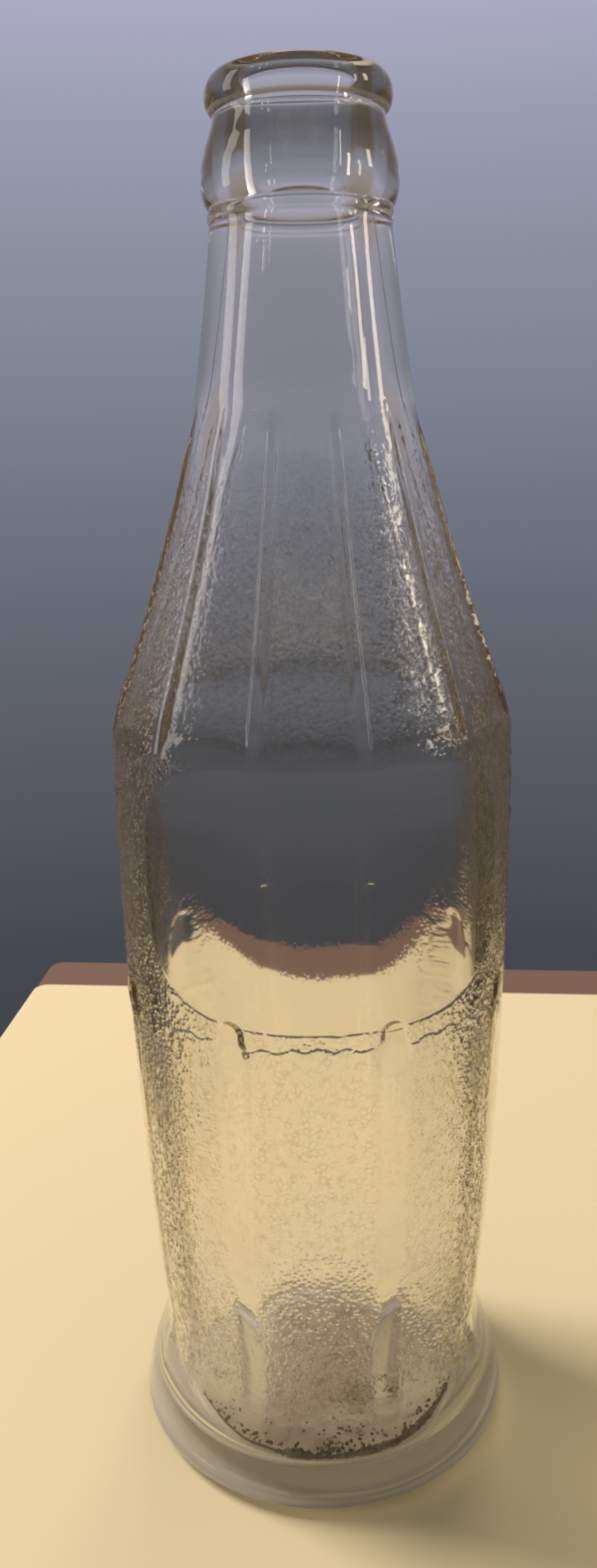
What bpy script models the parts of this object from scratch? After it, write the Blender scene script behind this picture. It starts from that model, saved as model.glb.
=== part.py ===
"""A soda bottle of pressed glass with a crown finish, empty, and the dried deposit left inside it.

The glass is one piece: a turned blank, with sunk panels cut into its cone and its lower body, and
round-headed ribs laid between the lower panels. Two pieces of deposit lie on the inner floor.
Metres, +Z up. The origin is the centre of the foot, on the ground, and the front is towards -Y.
"""

import math

import bmesh
import bpy

# Driving sizes of the glass. Heights are stacked from the ground up.
FOOT_SLOPE_BOTTOM = 0.0025
FOOT_SLOPE_HEIGHT = 0.0075
FOOT_FILLET_HEIGHT = 0.012
LOWER_BODY_HEIGHT = 0.063
BAND_HEIGHT = 0.040
CONE_HEIGHT = 0.048
NECK_HEIGHT = 0.0245
RING_HEIGHT = 0.0015
COLLAR_HEIGHT = 0.0125
LIP_HEIGHT = 0.0050

# Radii of the outer surface, from the foot up.
CONTACT_INNER_RADIUS = 0.0275
CONTACT_WIDTH = 0.0021
FOOT_RADIUS = 0.0323
FOOT_SLOPE_TOP_RADIUS = 0.0306
WAIST_RADIUS = 0.0278
BAND_BASE_RADIUS = 0.0314
BAND_RADIUS = 0.0316
FLUTE_TOP_RADIUS = 0.0164
NECK_RADIUS = 0.01315
RING_RISE = 0.00025
NOTCH_RADIUS = 0.01305
COLLAR_RADIUS = 0.0142
CREASE_RADIUS = 0.01215
LIP_RADIUS = 0.0133
LIP_WIDEST_DROP = 0.0030
LAND_RADIUS = 0.0108
LAND_WIDTH = 0.0008

# The hollow inside, and the base under it.
PUSH_UP_HEIGHT = 0.0015
FLOOR_HEIGHT = 0.0030
FLOOR_DOME = 0.0010
HEEL_RADIUS = 0.0260
HEEL_FILLET = 0.0035
BODY_WALL = 0.0050
CONE_WALL = 0.0046
NECK_WALL = 0.0045
BORE_RADIUS = 0.0081
BORE_DEPTH = 0.0120
MOUTH_ROUNDING = 0.0024

# How strongly each stretch of the outline curves: the power that its share of the height is raised to.
NECK_CURVE_SHARE = 1.2
BODY_CURVE_SHARE = 1.7
BAND_CURVE_SHARE = 3.0
FOOT_CURVE_SHARE = 2.0

# The collar's swelling: share of the collar's height below the crease, share of its swell.
COLLAR_SHARES = (
    (0.06, 0.02),
    (0.20, 0.28),
    (0.37, 0.64),
    (0.53, 0.89),
    (0.69, 1.00),
    (0.84, 0.88),
    (0.94, 0.68),
)

# The flutes of the cone: sunk panels with narrow ribs left between them.
CONE_PANELS = 12
CONE_RIB_RISE = 0.0005
CONE_RIB_STEP = 0.0015
CONE_RIB_FADE = 0.0050
CONE_RIB_WIDTH = 0.0009
CONE_PANEL_DEPTH = 0.0005
CONE_PANEL_FOOT = 0.0004
CONE_PANEL_ARCH = 0.0024
CONE_PANEL_TOP_GAP = 0.0010
CONE_FLANK_SHARE = 0.11
CONE_END_SHARE = 0.02
CONE_FADE_SHARE = 0.10

# The lower body: broad sunk panels with a round-headed rib laid over each gap.
BODY_PANELS = 8
BODY_PANEL_DEPTH = 0.00035
BODY_PANEL_TOP_DROP = 0.0042
BODY_PANEL_CORNER_RISE = 0.0026
BODY_PANEL_FOOT = 0.0140
BODY_FLANK_SHARE = 0.06
BODY_END_SHARE = 0.02
BODY_FADE_SHARE = 0.10
BODY_RIB_WIDTH = 0.0046
BODY_RIB_RISE = 0.0004
BODY_RIB_FOOT = 0.0115
BODY_RIB_FADE_SHARE = 0.12
BODY_RIB_ROW_SHARE = 2.0

# Cutters and the ribs' backs.
CUT_OVERRUN = 0.0001
CUTTER_THICKNESS = 0.0015
RIB_SUNK_EDGE = 0.0003
RIB_BACK_THICKNESS = 0.0010
AXIS_MERGE = 0.000001

# The deposit: a thin film over the floor, and a crust along the heel.
DEPOSIT_GAP = 0.0003
FILM_THICKNESS = 0.0004
FILM_RADIUS = 0.0217
FILM_BACK_REACH = 0.0208
FILM_WAVE = 0.0007
FILM_WAVES = 5
FILM_CORNER_SHARE = 2.0
CRUST_THICKNESS = 0.0020
CRUST_START = math.radians(-68)
CRUST_END = math.radians(80)
CRUST_LUMP_AZIMUTH = math.radians(-11)
CRUST_LUMP_SPREAD = math.radians(9)
CRUST_LUMP_SHARE = 0.18
CRUST_THIN_SHARE = 0.55
CRUST_POINTS = 28

# Facets: steps round the axis are a whole number for each panel, and points along each stretch.
TURN_STEPS = 48
LIP_POINTS = 3
RING_POINTS = 3
NECK_POINTS = 3
CONE_POINTS = 7
BAND_POINTS = 3
BODY_POINTS = 6
FOOT_POINTS = 3
FLOOR_POINTS = 3
CONE_PANEL_COLUMNS = 6
CONE_PANEL_ROWS = 7
BODY_PANEL_COLUMNS = 8
BODY_PANEL_ROWS = 7
RIB_COLUMNS = 4
RIB_ROWS = 9
RIB_HEAD_ROWS = 3
FILM_STEPS = 32
FILM_RINGS = 3

# Levels that follow from the stacked heights.
SLOPE_TOP = FOOT_SLOPE_BOTTOM + FOOT_SLOPE_HEIGHT
WAIST_LEVEL = SLOPE_TOP + FOOT_FILLET_HEIGHT
BAND_LEVEL = WAIST_LEVEL + LOWER_BODY_HEIGHT
SHOULDER_LEVEL = BAND_LEVEL + BAND_HEIGHT
FLUTE_LEVEL = SHOULDER_LEVEL + CONE_HEIGHT
RING_LEVEL = FLUTE_LEVEL + NECK_HEIGHT
NOTCH_LEVEL = RING_LEVEL + RING_HEIGHT
CREASE_LEVEL = NOTCH_LEVEL + COLLAR_HEIGHT
TOTAL_HEIGHT = CREASE_LEVEL + LIP_HEIGHT


def mix(start, end, share):
    return start + (end - start) * share


def shares(count):
    """The shares 1/count to 1, so that a stretch starts after the point before it."""
    return [step / count for step in range(1, count + 1)]


def arc(centre, reach, start, end, count):
    """Points on an elliptic arc about centre, without its first point. Angles are in degrees."""
    points = []
    for share in shares(count):
        angle = math.radians(mix(start, end, share))
        points.append((centre[0] + reach[0] * math.cos(angle), centre[1] + reach[1] * math.sin(angle)))
    return points


def neck_radius(level):
    share = max((RING_LEVEL - level) / NECK_HEIGHT, 0.0)
    return mix(NECK_RADIUS, FLUTE_TOP_RADIUS, share**NECK_CURVE_SHARE)


def cone_radius(level):
    """The cone's ribs: the neck's line carried down to the shoulder, raised within a short step."""
    share = min(max((FLUTE_LEVEL - level) / CONE_HEIGHT, 0.0), 1.0)
    raised = min((FLUTE_LEVEL - level) / CONE_RIB_STEP, (level - SHOULDER_LEVEL) / CONE_RIB_FADE, 1.0)
    return mix(FLUTE_TOP_RADIUS, BAND_RADIUS, share**NECK_CURVE_SHARE) + CONE_RIB_RISE * raised


def band_radius(level):
    share = (level - BAND_LEVEL) / BAND_HEIGHT
    return mix(BAND_BASE_RADIUS, BAND_RADIUS, 1 - (1 - share) ** BAND_CURVE_SHARE)


def lower_radius(level):
    """The lower body's taper, and below the waist the foot's hollow flare."""
    if level >= WAIST_LEVEL:
        share = (BAND_LEVEL - level) / LOWER_BODY_HEIGHT
        return mix(BAND_BASE_RADIUS, WAIST_RADIUS, share**BODY_CURVE_SHARE)
    share = min((WAIST_LEVEL - level) / FOOT_FILLET_HEIGHT, 1.0)
    return mix(WAIST_RADIUS, FOOT_SLOPE_TOP_RADIUS, share**FOOT_CURVE_SHARE)


def floor_level(radius):
    """Height of the inner floor, slightly domed, at this distance from the axis."""
    share = min(radius / (HEEL_RADIUS - HEEL_FILLET), 1.0)
    return FLOOR_HEIGHT + FLOOR_DOME * (1 - share**2)


def inner_profile():
    """Up the inside, from the floor's centre to the mouth."""
    flat = HEEL_RADIUS - HEEL_FILLET
    points = [(0.0, floor_level(0.0))]
    points += [(flat * share, floor_level(flat * share)) for share in shares(FLOOR_POINTS)]
    points += arc((flat, FLOOR_HEIGHT + HEEL_FILLET), (HEEL_FILLET, HEEL_FILLET), -90, 0, FOOT_POINTS)
    # The wall leans in from the heel to the waist, as the outside does.
    for share in (0.0, *shares(BODY_POINTS // 2)):
        level = mix(WAIST_LEVEL, BAND_LEVEL, share)
        points.append((lower_radius(level) - BODY_WALL, level))
    for share in shares(BAND_POINTS // 2):
        level = mix(BAND_LEVEL, SHOULDER_LEVEL - BODY_WALL, share)
        points.append((band_radius(level) - BODY_WALL, level))
    for share in shares(CONE_POINTS // 2 + 1):
        level = mix(SHOULDER_LEVEL + CONE_WALL / 2, FLUTE_LEVEL, share)
        points.append((cone_radius(level) - CONE_WALL, level))
    for share in shares(NECK_POINTS):
        level = mix(FLUTE_LEVEL, RING_LEVEL, share)
        points.append((neck_radius(level) - mix(CONE_WALL, NECK_WALL, share), level))
    points.append((BORE_RADIUS, TOTAL_HEIGHT - BORE_DEPTH))
    points.append((BORE_RADIUS, TOTAL_HEIGHT - MOUTH_ROUNDING))
    land_inside = LAND_RADIUS - LAND_WIDTH / 2
    centre = (land_inside, TOTAL_HEIGHT - MOUTH_ROUNDING)
    points += arc(centre, (land_inside - BORE_RADIUS, MOUTH_ROUNDING), 180, 90, LIP_POINTS)
    return points


def outer_profile():
    """Down the outside, from the sealing land to the centre of the base."""
    land_outside = LAND_RADIUS + LAND_WIDTH / 2
    widest = TOTAL_HEIGHT - LIP_WIDEST_DROP
    points = [(land_outside, TOTAL_HEIGHT)]
    upper_reach = (LIP_RADIUS - land_outside, LIP_WIDEST_DROP)
    lower_reach = (LIP_RADIUS - CREASE_RADIUS, widest - CREASE_LEVEL)
    points += arc((land_outside, widest), upper_reach, 90, 0, LIP_POINTS)
    points += arc((CREASE_RADIUS, widest), lower_reach, 0, -90, LIP_POINTS)
    for height_share, swell_share in COLLAR_SHARES:
        radius = mix(CREASE_RADIUS, COLLAR_RADIUS, swell_share)
        points.append((radius, mix(CREASE_LEVEL, NOTCH_LEVEL, height_share)))
    points.append((NOTCH_RADIUS, NOTCH_LEVEL))
    ring_centre = (NECK_RADIUS, RING_LEVEL + RING_HEIGHT / 2)
    points += arc(ring_centre, (RING_RISE, RING_HEIGHT / 2), 90, -90, RING_POINTS)
    for share in shares(NECK_POINTS):
        level = mix(RING_LEVEL, FLUTE_LEVEL, share)
        points.append((neck_radius(level), level))
    cone_foot = SHOULDER_LEVEL + CONE_PANEL_FOOT
    points.append((cone_radius(FLUTE_LEVEL - CONE_RIB_STEP), FLUTE_LEVEL - CONE_RIB_STEP))
    for share in shares(CONE_POINTS):
        level = mix(FLUTE_LEVEL - CONE_RIB_STEP, cone_foot, share)
        points.append((cone_radius(level), level))
    points.append((BAND_RADIUS, SHOULDER_LEVEL - CONE_PANEL_FOOT))
    for share in shares(BAND_POINTS):
        level = mix(SHOULDER_LEVEL - CONE_PANEL_FOOT, BAND_LEVEL, share)
        points.append((band_radius(level), level))
    for share in shares(BODY_POINTS):
        level = mix(BAND_LEVEL, WAIST_LEVEL, share)
        points.append((lower_radius(level), level))
    for share in shares(FOOT_POINTS):
        level = mix(WAIST_LEVEL, SLOPE_TOP, share)
        points.append((lower_radius(level), level))
    points.append((FOOT_RADIUS, FOOT_SLOPE_BOTTOM))
    contact_outside = CONTACT_INNER_RADIUS + CONTACT_WIDTH
    edge = (FOOT_RADIUS - contact_outside, FOOT_SLOPE_BOTTOM)
    points += arc((contact_outside, FOOT_SLOPE_BOTTOM), edge, 0, -90, FOOT_POINTS)
    points.append((CONTACT_INNER_RADIUS, 0.0))
    points += arc((0.0, 0.0), (CONTACT_INNER_RADIUS, PUSH_UP_HEIGHT), 0, 90, FLOOR_POINTS)
    points[-1] = (0.0, PUSH_UP_HEIGHT)
    return points


def clear_scene():
    for thing in list(bpy.data.objects):
        bpy.data.objects.remove(thing, do_unlink=True)
    for group in list(bpy.data.collections):
        bpy.data.collections.remove(group)


def new_collection(name):
    group = bpy.data.collections.new(name)
    bpy.context.scene.collection.children.link(group)
    return group


def principled(name, color, roughness):
    material = bpy.data.materials.new(name)
    material.use_nodes = True
    shader = material.node_tree.nodes["Principled BSDF"]
    shader.inputs["Base Color"].default_value = (*color, 1.0)
    shader.inputs["Metallic"].default_value = 0.0
    shader.inputs["Roughness"].default_value = roughness
    return material, shader


def glass_material():
    material, shader = principled("straw_tinted_glass", (0.93, 0.94, 0.88), 0.03)
    shader.inputs["Transmission Weight"].default_value = 1.0
    shader.inputs["IOR"].default_value = 1.52
    return material


def film_material():
    return principled("dried_film", (0.33, 0.24, 0.15), 0.85)[0]


def crust_material():
    return principled("dark_crust", (0.09, 0.06, 0.04), 0.9)[0]


def add_object(name, mesh, group):
    thing = bpy.data.objects.new(name, mesh)
    group.objects.link(thing)
    return thing


def turned(name, profile, steps, group):
    """A profile at +X spun once round the Z axis."""
    mesh = bpy.data.meshes.new(name)
    points = [(radius, 0.0, level) for radius, level in profile]
    mesh.from_pydata(points, [(i, i + 1) for i in range(len(points) - 1)], [])
    thing = add_object(name, mesh, group)
    screw = thing.modifiers.new("turn", "SCREW")
    screw.steps = steps
    screw.render_steps = steps
    screw.use_merge_vertices = True
    screw.merge_threshold = AXIS_MERGE
    screw.use_smooth_shade = True
    return thing


def graded(index, count, low_share, high_share):
    """Share of a grid's length at this line, with a short cell of the given share at each end."""
    if index == 0:
        return 0.0
    if index == count:
        return 1.0
    return mix(low_share, 1.0 - high_share, (index - 1) / (count - 2))


def wrapped_sheet(name, place, columns, rows, group):
    """A grid laid on the bottle: place gives the azimuth, radius and level of each of its points."""
    bm = bmesh.new()
    bmesh.ops.create_grid(bm, x_segments=columns, y_segments=rows, size=1.0)
    for vertex in bm.verts:
        column = round((vertex.co.x + 1) / 2 * columns)
        row = round((vertex.co.y + 1) / 2 * rows)
        azimuth, radius, level = place(column, row)
        vertex.co = (radius * math.sin(azimuth), -radius * math.cos(azimuth), level)
    mesh = bpy.data.meshes.new(name)
    bm.to_mesh(mesh)
    bm.free()
    return add_object(name, mesh, group)


def thickened(thing, thickness, outward):
    solidify = thing.modifiers.new("thickness", "SOLIDIFY")
    solidify.thickness = thickness
    solidify.offset = 1.0 if outward else -1.0
    return thing


def cone_panel(number, group):
    """Cutter for one flute: arched at its foot, fading out at the neck, with sloping flanks."""
    centre = 2 * math.pi * number / CONE_PANELS
    top = FLUTE_LEVEL - CONE_PANEL_TOP_GAP

    def place(column, row):
        across = 2 * graded(column, CONE_PANEL_COLUMNS, CONE_FLANK_SHARE, CONE_FLANK_SHARE) - 1
        along = graded(row, CONE_PANEL_ROWS, CONE_END_SHARE, CONE_FADE_SHARE)
        foot = SHOULDER_LEVEL + CONE_PANEL_FOOT + CONE_PANEL_ARCH * (1 - across**2)
        level = mix(foot, top, along)
        half_angle = math.pi / CONE_PANELS - CONE_RIB_WIDTH / 2 / cone_radius(level)
        inner = column not in (0, CONE_PANEL_COLUMNS) and row not in (0, CONE_PANEL_ROWS)
        lift = -CONE_PANEL_DEPTH if inner else CUT_OVERRUN
        return centre + across * half_angle, cone_radius(level) + lift, level

    sheet = wrapped_sheet(f"cone_panel_{number + 1}", place, CONE_PANEL_COLUMNS, CONE_PANEL_ROWS, group)
    return thickened(sheet, CUTTER_THICKNESS, outward=True)


def body_panel(number, group):
    """Cutter for one lower panel: its top edge bows down between raised corners, its foot fades out."""
    centre = 2 * math.pi * number / BODY_PANELS

    def place(column, row):
        across = 2 * graded(column, BODY_PANEL_COLUMNS, BODY_FLANK_SHARE, BODY_FLANK_SHARE) - 1
        along = graded(row, BODY_PANEL_ROWS, BODY_FADE_SHARE, BODY_END_SHARE)
        top = BAND_LEVEL - BODY_PANEL_TOP_DROP + BODY_PANEL_CORNER_RISE * across**2
        level = mix(BODY_PANEL_FOOT, top, along)
        half_angle = math.pi / BODY_PANELS - (BODY_RIB_WIDTH / 2 - RIB_SUNK_EDGE) / BAND_BASE_RADIUS
        inner = column not in (0, BODY_PANEL_COLUMNS) and row not in (0, BODY_PANEL_ROWS)
        lift = -BODY_PANEL_DEPTH if inner else CUT_OVERRUN
        return centre + across * half_angle, lower_radius(level) + lift, level

    sheet = wrapped_sheet(f"body_panel_{number + 1}", place, BODY_PANEL_COLUMNS, BODY_PANEL_ROWS, group)
    return thickened(sheet, CUTTER_THICKNESS, outward=True)


def body_rib(number, group):
    """One smooth rib between two lower panels, domed across, with a round head at the band."""
    centre = 2 * math.pi * (number + 0.5) / BODY_PANELS
    half_width = BODY_RIB_WIDTH / 2
    straight_rows = RIB_ROWS - RIB_HEAD_ROWS

    def place(column, row):
        across = 2 * column / RIB_COLUMNS - 1
        head = max(row - straight_rows, 0) / (RIB_HEAD_ROWS + 1) * math.pi / 2
        # The rows lie closer together where the rib runs down into the hollow flare of the foot.
        along = min(row / straight_rows, 1.0) ** BODY_RIB_ROW_SHARE
        level = mix(BODY_RIB_FOOT, BAND_LEVEL - half_width, along) + half_width * math.sin(head)
        narrowed = half_width * math.cos(head)
        rise = BODY_RIB_RISE * min(along / BODY_RIB_FADE_SHARE, 1.0) * math.cos(head) + RIB_SUNK_EDGE
        lift = rise * (1 - across**2) - RIB_SUNK_EDGE
        radius = lower_radius(level) + lift
        return centre + across * narrowed / radius, radius, level

    sheet = wrapped_sheet(f"body_rib_{number + 1}", place, RIB_COLUMNS, RIB_ROWS, group)
    return thickened(sheet, RIB_BACK_THICKNESS, outward=False)


def combine(thing, name, operation, group):
    modifier = thing.modifiers.new(name, "BOOLEAN")
    modifier.operation = operation
    modifier.operand_type = "COLLECTION"
    modifier.collection = group
    modifier.solver = "EXACT"


def as_guides(group):
    for thing in group.objects:
        thing.hide_render = True
        thing.display_type = "WIRE"
    group.hide_render = True


def glass_bottle(parts):
    cutters = new_collection("panel_cutters")
    ribs = new_collection("rib_pads")
    bottle = turned("glass_bottle", inner_profile() + outer_profile(), TURN_STEPS, parts)
    bottle.data.materials.append(glass_material())
    for number in range(CONE_PANELS):
        cone_panel(number, cutters)
    for number in range(BODY_PANELS):
        body_panel(number, cutters)
        body_rib(number, ribs)
    as_guides(cutters)
    as_guides(ribs)
    combine(bottle, "sunk_panels", "DIFFERENCE", cutters)
    combine(bottle, "laid_ribs", "UNION", ribs)
    return bottle


def film_reach(azimuth):
    """Distance from the axis to the film's edge: smooth along the front, wavy along the back."""
    forward = math.cos(azimuth)
    back = FILM_BACK_REACH + FILM_WAVE * math.sin(FILM_WAVES * azimuth)
    if forward >= 0:
        return mix(FILM_RADIUS, back, (1 - forward) ** FILM_CORNER_SHARE)
    return back


def floor_film(parts):
    """A thin film of dried deposit, following the floor's dome."""
    rings = [(step / FILM_RINGS, 0.0) for step in range(FILM_RINGS + 1)]
    disc = turned("floor_film", rings, FILM_STEPS, parts)
    graph = bpy.context.evaluated_depsgraph_get()
    mesh = bpy.data.meshes.new_from_object(disc.evaluated_get(graph))
    bpy.data.objects.remove(disc, do_unlink=True)
    for vertex in mesh.vertices:
        azimuth = math.atan2(vertex.co.x, -vertex.co.y)
        radius = math.hypot(vertex.co.x, vertex.co.y) * film_reach(azimuth)
        level = floor_level(radius) + DEPOSIT_GAP
        vertex.co = (radius * math.sin(azimuth), -radius * math.cos(azimuth), level)
    film = add_object("floor_film", mesh, parts)
    film.data.materials.append(film_material())
    return thickened(film, FILM_THICKNESS, outward=True)


def crust_share(azimuth):
    """How thick the crust is here, as a share of its full thickness: thin at both ends, with one lump."""
    along = (azimuth - CRUST_START) / (CRUST_END - CRUST_START)
    lump = math.exp(-(((azimuth - CRUST_LUMP_AZIMUTH) / CRUST_LUMP_SPREAD) ** 2))
    swell = CRUST_THIN_SHARE + (1 - CRUST_LUMP_SHARE - CRUST_THIN_SHARE) * math.sin(math.pi * along)
    return swell + CRUST_LUMP_SHARE * lump


def heel_crust(parts):
    """A crust of deposit lying in the angle between the floor and the wall, along the front of the heel."""
    curve = bpy.data.curves.new("heel_crust", "CURVE")
    curve.dimensions = "3D"
    curve.bevel_depth = CRUST_THICKNESS / 2
    curve.bevel_resolution = 2
    curve.use_fill_caps = True
    spline = curve.splines.new("POLY")
    spline.points.add(CRUST_POINTS - 1)
    for index, point in enumerate(spline.points):
        azimuth = mix(CRUST_START, CRUST_END, index / (CRUST_POINTS - 1))
        share = crust_share(azimuth)
        # The tube lies against the heel's fillet, which is a quarter circle.
        inset = (HEEL_FILLET - DEPOSIT_GAP - share * CRUST_THICKNESS / 2) * math.sin(math.radians(45))
        radius = HEEL_RADIUS - HEEL_FILLET + inset
        level = FLOOR_HEIGHT + HEEL_FILLET - inset
        point.co = (radius * math.sin(azimuth), -radius * math.cos(azimuth), level, 1.0)
        point.radius = share
    crust = add_object("heel_crust", curve, parts)
    crust.data.materials.append(crust_material())
    return crust


def build():
    clear_scene()
    parts = new_collection("soda_bottle")
    glass_bottle(parts)
    floor_film(parts)
    heel_crust(parts)


build()
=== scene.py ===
import math

import bmesh
import bpy
import numpy as np
from mathutils import Matrix, Vector, noise


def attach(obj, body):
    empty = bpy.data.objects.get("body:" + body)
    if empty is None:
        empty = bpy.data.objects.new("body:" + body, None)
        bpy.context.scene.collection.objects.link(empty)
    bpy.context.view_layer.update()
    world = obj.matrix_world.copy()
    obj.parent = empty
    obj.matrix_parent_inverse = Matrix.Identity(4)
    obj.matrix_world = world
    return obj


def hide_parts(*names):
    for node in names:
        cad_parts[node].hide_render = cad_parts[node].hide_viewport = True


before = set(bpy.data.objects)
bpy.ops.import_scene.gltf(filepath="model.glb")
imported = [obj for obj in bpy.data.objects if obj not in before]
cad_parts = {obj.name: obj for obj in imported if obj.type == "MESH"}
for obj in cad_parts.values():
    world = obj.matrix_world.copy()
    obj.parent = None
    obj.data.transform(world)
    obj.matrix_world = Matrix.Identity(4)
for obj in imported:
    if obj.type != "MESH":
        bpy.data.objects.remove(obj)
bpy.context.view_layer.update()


# The glass: one piece of soda-lime glass with a faint straw tint, pressed in a two-part iron mould and blown
# hollow. From the ground up it has a flared foot, eight stippled panels between smooth ribs, a band, a cone
# of twelve flutes, a short neck and a crown finish. Lengths in this section are millimetres.
MM = 0.001

# Levels of the mould's turned outline, then its radii, as the CAD model has them.
EDGE_LEVEL = 2.5
SLOPE_TOP = 10.0
WAIST = 22.0
BAND_FOOT = 85.0
SHOULDER = 125.0
FLUTE_TOP = 173.0
RING = 197.5
NOTCH = 199.0
CREASE = 211.5
LIP_WIDEST = 213.5
TOP = 216.5

PUSH_UP_RISE = 1.5
CONTACT_INNER = 27.5
CONTACT_OUTER = 29.6
FOOT_RADIUS = 32.3
SLOPE_TOP_RADIUS = 30.6
WAIST_RADIUS = 27.8
BAND_FOOT_RADIUS = 31.4
BAND_RADIUS = 31.6
FLUTE_TOP_RADIUS = 16.4
NECK_RADIUS = 13.15
RING_BULGE = 0.25
CREASE_RADIUS = 12.15
LIP_RADIUS = 13.3
LAND_OUTER = 11.2
LAND_INNER = 10.4
COLLAR_LEVELS = (199.0, 199.75, 201.0, 202.75, 204.9, 206.9, 209.0, 210.75, 211.5)
COLLAR_RADII = (13.05, 13.60, 14.00, 14.20, 14.00, 13.48, 12.74, 12.19, 12.15)

# The hollow: an inner floor, a rounded heel and walls that the blowing left a little uneven.
FLOOR_EDGE_LEVEL = 3.0
FLOOR_DOME = 1.0
FLOOR_FLAT_RADIUS = 22.5
HEEL_FILLET = 3.5
BORE_RADIUS = 8.1
MOUTH_ROUNDING = 2.4
INNER_LEVELS = (6.5, 10.0, 16.0, 22.0, 43.0, 64.0, 85.0, 104.0, 120.0, 127.3, 138.0, 149.0, 161.0, 173.0,
    185.0, 197.5, 204.5, 214.1)
INNER_RADII = (26.0, 25.7, 24.1, 22.9, 23.8, 25.1, 26.1, 26.55, 26.6, 26.6, 23.4, 19.6, 15.7, 12.0,
    10.2, 8.65, 8.1, 8.1)
WOBBLE = 0.16
WOBBLE_REACH = 13.0
WOBBLE_DRAWN_OUT = 0.6
WOBBLE_START = (7.0, 20.0)
WOBBLE_END = (190.0, 205.0)
# In front the wall is thicker, most of all at a turn to both sides of the middle.
THICK_MIDDLE = 0.62
THICK_SIDES = 0.75
THICK_TURN = 40.0
THICK_SPREAD = 0.28
THICK_FRONT = (-0.3, 0.5)
THICK_TOP = 113.0
THICK_FULL = 86.0
THICK_FOOT = (24.0, 60.0)

# How each stretch of the outline bends, and over what length its measured points are eased.
CONE_CURVE = 1.2
BAND_CURVE = 3
BODY_CURVE = 1.7
FOOT_CURVE = 2
WALL_EASE = 7.0
COLLAR_EASE = 1.1
FOOT_EASE = 5.0
FINE_STEP = 0.1
FOOT_TOP = WAIST + 6.0
# Rows stop this far short of an edge of the outline, which leaves it a little round.
CORNER_CUT = 0.3

# The mesh: columns round the bottle, and rows that are closest at the heads of the lower ribs.
COLUMNS = 504
ROW_STEP = 0.44
COLLAR_ROW_STEP = 0.35
FOOT_ROW_STEP = 0.45
INNER_ROW_STEP = 2.2
HEAD_ROW_STEP = 0.13
HEAD_ABOVE = 1.6
HEAD_BELOW = 4.6


def mix(start, end, share):
    return start + (end - start) * share


def soft_step(low, high, value):
    """0 below low, 1 above high, with an S-shaped rise between them."""
    share = np.clip((value - low) / (high - low), 0.0, 1.0)
    return share * share * (3.0 - 2.0 * share)


def arc(centre, reach, start, end, count):
    """Points on an elliptic arc about centre, without its first point. Angles are in degrees."""
    angles = np.radians(np.linspace(start, end, count + 1)[1:])
    return np.column_stack((centre[0] + reach[0] * np.cos(angles), centre[1] + reach[1] * np.sin(angles)))


def stretch(radius_at, start, end, step):
    """Points down or up one stretch of the outline, without its first point."""
    count = max(2, round(abs(end - start) / step))
    levels = np.linspace(start, end, count + 1)[1:]
    return np.column_stack((radius_at(levels), levels))


def eased_curve(levels, radii, span):
    """A smooth curve through measured points: straight runs between them, then a running mean over span."""
    fine = np.arange(levels[0], levels[-1] + FINE_STEP / 2, FINE_STEP)
    line = np.interp(fine, levels, radii)
    width = int(span / FINE_STEP) | 1
    padded = np.pad(line, width // 2, mode="reflect", reflect_type="odd")
    smooth = np.convolve(padded, np.ones(width) / width, mode="valid")
    return lambda level: np.interp(level, fine, smooth)


def neck_radius(level):
    share = np.clip((RING - level) / (RING - FLUTE_TOP), 0.0, None)
    return mix(NECK_RADIUS, FLUTE_TOP_RADIUS, share**CONE_CURVE)


def cone_radius(level):
    share = np.clip((FLUTE_TOP - level) / (FLUTE_TOP - SHOULDER), 0.0, 1.0)
    return mix(FLUTE_TOP_RADIUS, BAND_RADIUS, share**CONE_CURVE)


def band_radius(level):
    share = (level - BAND_FOOT) / (SHOULDER - BAND_FOOT)
    return mix(BAND_FOOT_RADIUS, BAND_RADIUS, 1.0 - (1.0 - share) ** BAND_CURVE)


def lower_radius(level):
    share = np.clip((BAND_FOOT - level) / (BAND_FOOT - WAIST), 0.0, 1.0)
    return mix(BAND_FOOT_RADIUS, WAIST_RADIUS, share**BODY_CURVE)


def foot_radius(level):
    """The waist, the flare and the foot's slope, which run into each other without an edge."""
    share = np.clip((WAIST - level) / (WAIST - SLOPE_TOP), 0.0, 1.0)
    flare = mix(WAIST_RADIUS, SLOPE_TOP_RADIUS, share**FOOT_CURVE)
    slope = mix(FOOT_RADIUS, SLOPE_TOP_RADIUS, (level - EDGE_LEVEL) / (SLOPE_TOP - EDGE_LEVEL))
    return np.where(level > WAIST, lower_radius(level), np.where(level > SLOPE_TOP, flare, slope))


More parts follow.
